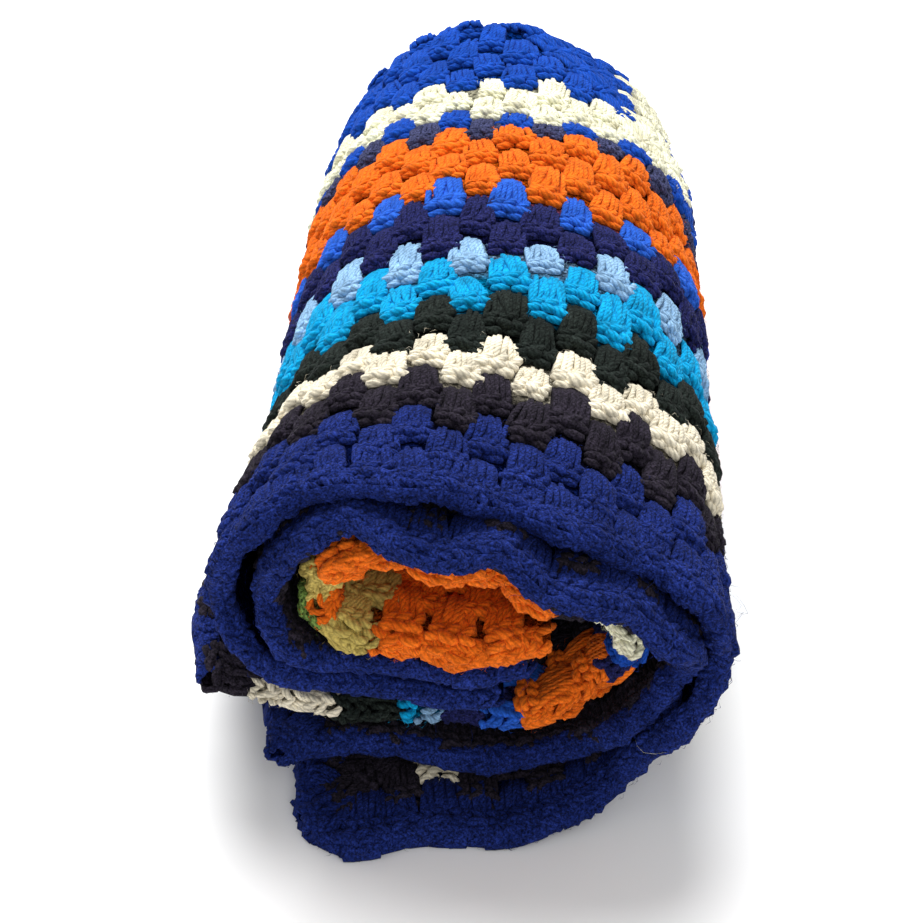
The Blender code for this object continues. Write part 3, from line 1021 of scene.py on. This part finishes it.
stripe_ends = [row[0] for row in FOLD_STRIPES[1:]] + [ORANGE_FROM]
for (around, yarn), stripe_end in zip(FOLD_STRIPES, stripe_ends):
    braid(yarn, DOUBLE_RIM, around + 0.5, stripe_end)
for yarn, first, last in (
    ("orange", ORANGE_FROM + 1.0, yellow_from), ("centre_yellow", yellow_from, in_patch(0.4)),
    ("orange", in_patch(0.4), in_patch(0.6)), ("centre_yellow", in_patch(0.6), yellow_to),
    ("orange", yellow_to, END["inner"] - 1.0),
):
    braid(yarn, DOUBLE_RIM, first, last)
braid("border_blue_edge", OUTER_EDGE, 2.0, END["outer"] - 2.0)
braid("border_blue_edge", MIDDLE_EDGE, 2.0, END["middle"] - 2.0)
for face in SIDE_EDGES:
    braid("border_blue_edge", face, 3.0, ROLL_LENGTH - 2.0, SIDE_RUNS, SIDE_PITCH)

# %% A few long stray hairs at the open end
HAIR_LENGTH = (8.0, 18.0)
HAIR_RUN = (-6.0, 12.0)
HAIR_HEIGHT = (2.5, 5.0)
for piece, face, last, count in (
    ("border_blue_edge", OUTER_EDGE, END["outer"], 24),
    ("border_blue_edge", MIDDLE_EDGE, END["middle"], 40),
    ("ecru", OUTER_EDGE, END["outer"], 5),
):
    length = between(*HAIR_LENGTH, count)
    lay_strands(
        piece, face, between(10.0, last, count), between(*HAIR_RUN, count),
        between(*HAIR_HEIGHT, count), lean=between(0.0, FULL_TURN, count),
        length=length, radius=length, shape=HAIR, slope=jitter(0.2, count),
    )
print("strands in all:", count_strands())

# %% [markdown]
# ## From strands to meshes
#
# A point cloud holds the strands of one yarn, and a Geometry Nodes tree puts a strand
# on each point. The tree reads three attributes from the points, which keeps all the
# layout in the cells above. It ends with real geometry and one material, and the
# result is stored as a plain mesh, so nothing has to be worked out again later.

# %% The tree that turns points into strands
def stitch_tree():
    tree = bpy.data.node_groups.new("stitches_from_points", "GeometryNodeTree")
    for label, kind in (("Geometry", "Geometry"), ("Strand Shapes", "Collection"), ("Yarn", "Material"),
                        ("Thinnest", "Float"), ("Thickest", "Float"), ("Seed", "Int")):
        tree.interface.new_socket(label, in_out="INPUT", socket_type="NodeSocket" + kind)
    tree.interface.new_socket("Geometry", in_out="OUTPUT", socket_type="NodeSocketGeometry")
    entry = node(tree, "NodeGroupInput").outputs
    shapes = node(tree, "GeometryNodeCollectionInfo",
                  {"Separate Children": True, "Reset Children": True}, transform_space="ORIGINAL")
    turn, size, shape = (
        node(tree, "GeometryNodeInputNamedAttribute", {"Name": name}, data_type=kind).outputs["Attribute"]
        for name, kind in (("turn", "FLOAT_VECTOR"), ("size", "FLOAT_VECTOR"), ("shape", "INT")))
    rotation = node(tree, "FunctionNodeEulerToRotation")
    thickness = node(tree, "FunctionNodeRandomValue", data_type="FLOAT")
    stretch = node(tree, "ShaderNodeCombineXYZ", {"Y": 1.0})
    scaled = node(tree, "ShaderNodeVectorMath", operation="MULTIPLY")
    placed = node(tree, "GeometryNodeInstanceOnPoints", {"Pick Instance": True})
    real = node(tree, "GeometryNodeRealizeInstances")
    painted = node(tree, "GeometryNodeSetMaterial")
    leave = node(tree, "NodeGroupOutput")
    for source, target, socket in (
        (entry["Strand Shapes"], shapes, "Collection"),
        (entry["Thinnest"], thickness, "Min"), (entry["Thickest"], thickness, "Max"),
        (entry["Seed"], thickness, "Seed"),
        (thickness.outputs["Value"], stretch, "X"), (thickness.outputs["Value"], stretch, "Z"),
        (size, scaled, 0), (stretch.outputs[0], scaled, 1), (turn, rotation, 0),
        (entry["Geometry"], placed, "Points"), (shapes.outputs[0], placed, "Instance"),
        (shape, placed, "Instance Index"), (rotation.outputs[0], placed, "Rotation"),
        (scaled.outputs[0], placed, "Scale"), (placed.outputs["Instances"], real, "Geometry"),
        (real.outputs["Geometry"], painted, "Geometry"), (entry["Yarn"], painted, "Material"),
        (painted.outputs["Geometry"], leave, "Geometry"),
    ):
        link(tree, source, target.inputs[socket])
    return tree


STITCH_TREE = stitch_tree()
SOCKETS = {item.name: item.identifier for item in STITCH_TREE.interface.items_tree
           if item.in_out == "INPUT"}
print("stitch tree inputs:", ", ".join(SOCKETS))

# %% Helpers for the meshes
FLOOR_CLEARANCE = 0.2 * MM


def add_object(name, data):
    made = bpy.data.objects.new(name, data)
    bpy.context.scene.collection.objects.link(made)
    return made


def point_cloud(name, strands):
    mesh = bpy.data.meshes.new(name + "_points")
    mesh.from_pydata(np.concatenate(strands["point"]), [], [])
    for label, kind, values_as in (("turn", "FLOAT_VECTOR", "vector"), ("size", "FLOAT_VECTOR", "vector"),
                                   ("shape", "INT", "value")):
        values = np.concatenate(strands[label]).astype(np.int32 if kind == "INT" else np.float32)
        mesh.attributes.new(label, kind, "POINT").data.foreach_set(values_as, values.ravel())
    return mesh


def keep_off_floor(mesh):
    """The roll's weight flattens the stitches that it rests on."""
    points = np.empty(3 * len(mesh.vertices), dtype=np.float32)
    mesh.vertices.foreach_get("co", points)
    points[2::3] = np.maximum(points[2::3], FLOOR_CLEARANCE)
    mesh.vertices.foreach_set("co", points)
    mesh.update()


# %% Run the tree for each yarn
def stitches(name, strands, yarn):
    piece = add_object("stitches_" + name, point_cloud(name, strands))
    modifier = piece.modifiers.new("stitches", "NODES")
    modifier.node_group = STITCH_TREE
    for label, value in (("Strand Shapes", STRAND_SHAPES), ("Yarn", yarn), ("Thinnest", 0.94),
                         ("Thickest", 1.06), ("Seed", 5)):
        modifier[SOCKETS[label]] = value
    graph = bpy.context.evaluated_depsgraph_get()
    mesh = bpy.data.meshes.new_from_object(piece.evaluated_get(graph), depsgraph=graph)
    piece.modifiers.remove(modifier)
    piece.data = mesh
    mesh.name = piece.name
    for label in ("turn", "size", "shape"):
        if label in mesh.attributes:
            mesh.attributes.remove(mesh.attributes[label])
    keep_off_floor(mesh)
    print(piece.name, len(mesh.polygons), "faces")
    return piece


yarn_pieces = [stitches(name, strands, YARN_MATERIALS[YARN_OF_PIECE[name]])
               for name, strands in strands_of.items()]

# %% [markdown]
# ## The cloth behind the stitches
#
# Between the strands one sees the deeper parts of the same yarns in shadow. Thin closed
# sheets on every layer stand for them, and they also hang the stitches together as one
# cloth. Their colours are stored on each point from the same list of rounds and darkened
# as painted shade. A coarse noise darkens them further, in places almost to black: partly
# tangled yarn, partly painted shade in the gaps.

# %% A closed thin sheet
SHEET_HALF = 1.0
SHEET_STEP = 8.0
LENGTH_STEPS = int(ROLL_LENGTH / SHEET_STEP)
PAST_THE_FOLD = 9.0         # how far the outer sheet runs on along the inner face
FOLD_STEPS = 19
RIM_STEPS = 7
RIM_SHEET = (0.0, -1.2)     # off the rim: the sheet's front and back
# Painted shade: the sheets' colours are the rounds' colours darkened to this share.
DEEP_SHADE = 0.75
sheet_parts = []


def closed_sheet(front, back):
    """Points and faces of a thin closed body from two grids of points."""
    rows, columns = front.shape[:2]
    shift = rows * columns
    index = np.arange(shift).reshape(rows, columns)
    corners = (index[:-1, :-1], index[1:, :-1], index[1:, 1:], index[:-1, 1:])
    a, b, c, d = (corner.ravel() for corner in corners)
    faces = [np.stack((a, b, c, d), axis=-1), np.stack((a, d, c, b), axis=-1) + shift]
    for edge in (index[::-1, 0], index[:, -1], index[0], index[-1, ::-1]):
        faces.append(np.stack((edge[:-1], edge[1:], edge[1:] + shift, edge[:-1] + shift), axis=-1))
    return np.concatenate((front.reshape(-1, 3), back.reshape(-1, 3))), np.concatenate(faces)


def add_sheet(front, back, around, depth, colour):
    """Keeps one closed sheet, with a colour for each point from its place on the cloth."""
    around, depth = (grid.ravel() for grid in np.broadcast_arrays(around, depth))
    sheet_parts.append((*closed_sheet(front, back), np.tile(colour(around, depth), (2, 1))))


def sheet_rows(layer):
    return np.linspace(0.0, END[layer], int(END[layer] / SHEET_STEP))[:, None]


# %% Colours of the sheets
def colours_of(yarns):
    return np.array([YARNS[yarn] for yarn in yarns])


def round_colour(around, depth):
    near = np.searchsorted(ROUND_STARTS, depth, side="right") - 1
    number = np.clip(np.minimum(around / SIDE_ROW_HEIGHT, near), 0, len(ROUND_YARNS) - 1)
    return colours_of(ROUND_YARNS)[number.astype(int)]


def fold_colour(around, run):
    middles = np.array([row[0] + BRAID_REACH for row in FOLD_STRIPES] + [ORANGE_FROM])
    nearest = np.abs(around[:, None] - middles).argmin(axis=1)
    colours = colours_of([row[1] for row in FOLD_STRIPES] + ["orange"])[nearest]
    colours[around > ORANGE_FROM] = YARNS["orange"]
    colours[(around > yellow_from) & (around < yellow_to)] = YARNS["centre_yellow"]
    return colours


# %% A sheet for each layer, the folded end and the fold inside
def layer_sheet(layer, around, depth, middle=0.0):
    station = station_at(layer, around)
    front, back = (place(layer, station, depth, middle + side * SHEET_HALF) for side in (1.0, -1.0))
    add_sheet(front, back, around, depth, round_colour)


for layer in ("outer", "middle"):
    layer_sheet(layer, sheet_rows(layer), np.linspace(1.0, ROLL_LENGTH - 12.0, LENGTH_STEPS))

# A square folded in four has more cloth than shows. The rest lies inside the strip.
HIDDEN_DEPTHS = np.linspace(34.0, ROLL_LENGTH - 8.0, 50)
HIDDEN_HEIGHT = -5.2
hidden_rows = np.linspace(EDGE_MARGIN, END["middle"] - EDGE_MARGIN, 90)[:, None]
layer_sheet("middle", hidden_rows, HIDDEN_DEPTHS, HIDDEN_HEIGHT)

# From the outer face over the folded end to the inner face.
around = sheet_rows("outer")
beyond = fold_ends_at(station_at("outer", around)) + PAST_THE_FOLD
depth = FOLD_BEGINS - 3.0 + np.linspace(0.0, 1.0, FOLD_STEPS) * (beyond - FOLD_BEGINS)
add_sheet(OUTSIDE(around, depth, SHEET_HALF + 0.4), OUTSIDE(around, depth, -SHEET_HALF),
          around, depth, round_colour)

# The double layer: one sheet that runs over its rim.
around = sheet_rows("inner")
quarter = 0.5 * math.pi * RIM_RADIUS
far_run = np.linspace(6.0, ROLL_LENGTH - 18.0, LENGTH_STEPS)
run = np.concatenate((-far_run[::-1], np.linspace(-quarter, quarter, RIM_STEPS), far_run))
front, back = (DOUBLE_RIM(around, run, height) for height in RIM_SHEET)
add_sheet(front, back, around, run, fold_colour)
print("sheets:", len(sheet_parts))

# %% Join the sheets into the cloth
def outward(points, faces):
    """Turns the faces round if the closed body's volume comes out negative."""
    corners = points[faces]
    volume = np.einsum("ij,ij->", corners[:, 0], np.cross(corners[:, 1], corners[:, 2]))
    volume += np.einsum("ij,ij->", corners[:, 0], np.cross(corners[:, 2], corners[:, 3]))
    return faces if volume > 0 else faces[:, ::-1]


all_points, _, all_colours = (np.concatenate(part) for part in zip(*sheet_parts))
firsts = np.cumsum([0] + [len(points) for points, _, _ in sheet_parts])
all_faces = np.concatenate([outward(points, faces) + first
                            for (points, faces, _), first in zip(sheet_parts, firsts)])
mesh = bpy.data.meshes.new("blanket_cloth")
mesh.from_pydata(all_points, [], all_faces)
keep_off_floor(mesh)
# The rounds' colours, with the painted shade of the gaps already in them.
attribute = mesh.color_attributes.new("round_colour", "FLOAT_COLOR", "POINT")
attribute.data.foreach_set("color", np.c_[DEEP_SHADE * all_colours, np.ones(len(all_colours))].ravel())
mesh.polygons.foreach_set("use_smooth", [True] * len(mesh.polygons))
blanket_cloth = add_object("blanket_cloth", mesh)
print("blanket_cloth:", len(mesh.polygons), "faces, half its surface is",
      round(0.5 * sum(p.area for p in mesh.polygons), 3), "square metres")

# %% Material of the cloth behind the stitches
TANGLE_SCALE = 800.0
TANGLE_AND_PAINTED_SHADE = (0.08, 0.80)


def deep_cloth_material():
    material, tree, shader = new_material("cloth_behind_stitches", Roughness=1.0, Specular_IOR_Level=0.0)
    rounds = node(tree, "ShaderNodeAttribute", attribute_name="round_colour").outputs["Color"]
    position = node(tree, "ShaderNodeTexCoord").outputs["Object"]
    # The noise darkens the rounds' colours down to 0.08 of them: partly tangled yarn, partly painted shade
    # in the gaps between stitches.
    low, high = ((shade,) * 3 for shade in TANGLE_AND_PAINTED_SHADE)
    tangle_and_shade = mottled(tree, position, TANGLE_SCALE, low, high, spread=0.12, detail=3.0)
    link(tree, multiply(tree, rounds, tangle_and_shade), shader.inputs["Base Color"])
    link(tree, bump(tree, tangle_and_shade, (1.0, 1.5 * MM)), shader.inputs["Normal"])
    return material


blanket_cloth.data.materials.append(deep_cloth_material())

# %% Join the pieces to the frame
for piece in (blanket_cloth, *yarn_pieces):
    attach(piece, "root")
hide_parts("rolled_blanket")

# %% [markdown]
# ## Floor, light and camera
#
# The picture was taken on white, in soft light. The main lamp here stands high and a
# little behind the roll, since the tops of the layers are bright and the opening is
# dark. A weak one in front lifts the shadows. A large pale floor catches the soft
# shadow under the roll. The camera stands in front of the open end and looks down on
# it, with a long lens.

# %% Floor
FLOOR_HALF = 6.0
FLOOR_WHITE = (0.95, 0.95, 0.95, 1.0)
floor_corners = [(x * FLOOR_HALF, y * FLOOR_HALF, 0.0) for x, y in ((-1, -1), (1, -1), (1, 1), (-1, 1))]
floor_mesh = bpy.data.meshes.new("floor")
floor_mesh.from_pydata(floor_corners, [], [(0, 1, 2, 3)])
floor_mesh.materials.append(new_material("white_ground", Base_Color=FLOOR_WHITE, Roughness=0.9)[0])
floor = add_object("floor", floor_mesh)

# %% World and lights
scene = bpy.context.scene
scene.view_settings.view_transform = "Standard"
scene.world = bpy.data.worlds.new("soft_studio")
scene.world.use_nodes = True
backdrop = scene.world.node_tree.nodes["Background"]
backdrop.inputs["Color"].default_value = (1.0, 1.0, 1.0, 1.0)
backdrop.inputs["Strength"].default_value = 0.56
ROLL_MIDDLE = (0.0, 0.0, 0.06)


def soft_light(name, place_at, width, power):
    """A round lamp that points at the middle of the roll."""
    lamp = bpy.data.lights.new(name, "AREA")
    lamp.shape = "DISK"
    lamp.size = width
    lamp.energy = power
    light = add_object(name, lamp)
    light.location = place_at
    x, y, z = np.array(ROLL_MIDDLE) - np.array(place_at)
    light.rotation_euler = (math.atan2(math.hypot(x, y), -z), 0.0, math.atan2(y, x) - 0.5 * math.pi)


soft_light("high_window", (-0.22, 0.62, 1.7), 1.3, 47.0)
soft_light("front_fill", (0.3, -1.5, 1.2), 1.2, 7.0)

# %% Camera
CAMERA_PLACE = (0.0156, -0.5858, 0.4280)
CAMERA_PITCH = math.radians(35.05)      # how far it looks down
CAMERA_YAW = math.radians(1.91)
CAMERA_ROLL = math.radians(1.22)
camera_data = bpy.data.cameras.new("camera")
camera_data.lens = 79.5
camera_data.sensor_width = 36.0
camera = add_object("camera", camera_data)
camera.location = CAMERA_PLACE
facing = Euler((0.5 * math.pi - CAMERA_PITCH, 0.0, CAMERA_YAW)).to_matrix()
camera.rotation_euler = (facing @ Euler((0.0, 0.0, CAMERA_ROLL)).to_matrix()).to_euler()
scene.camera = camera
